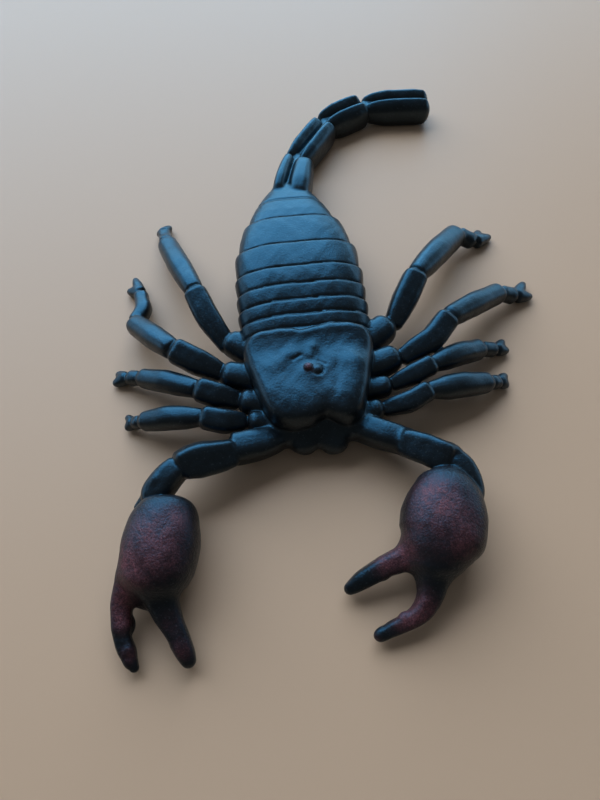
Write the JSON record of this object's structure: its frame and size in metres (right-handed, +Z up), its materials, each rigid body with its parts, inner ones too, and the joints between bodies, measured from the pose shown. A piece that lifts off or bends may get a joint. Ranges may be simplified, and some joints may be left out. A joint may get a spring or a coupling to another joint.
{
  "type": "rubber toy scorpion",
  "caption": "Soft rubber toy scorpion lying flat, with a banded back, bent legs, raised pincers painted red-brown and a keeled tail curled to one side.",
  "frame": {"origin": "on the flat belly, on the trunk's midline, under the hind edge of the head shield", "axes": "+Y towards the tail, +X to the animal's left, +Z up, away from the belly"},
  "size_m": [0.1298, 0.1932, 0.0183],
  "materials": {
    "black_rubber": "black moulded soft rubber with a fine grain, satin",
    "painted_rubber": "the same black rubber with red-brown airbrushed paint, fading to black at the wrists and finger tips"
  },
  "bodies": {
    "root": {"trunk": "black_rubber", "tail": "black_rubber", "leg_left_1": "black_rubber", "leg_left_2": "black_rubber", "leg_left_3": "black_rubber", "leg_left_4": "black_rubber", "leg_right_1": "black_rubber", "leg_right_2": "black_rubber", "leg_right_3": "black_rubber", "leg_right_4": "black_rubber", "arm_left": "black_rubber", "arm_right": "black_rubber", "claw_left": "painted_rubber", "claw_right": "painted_rubber"}
  },
  "joints": []
}
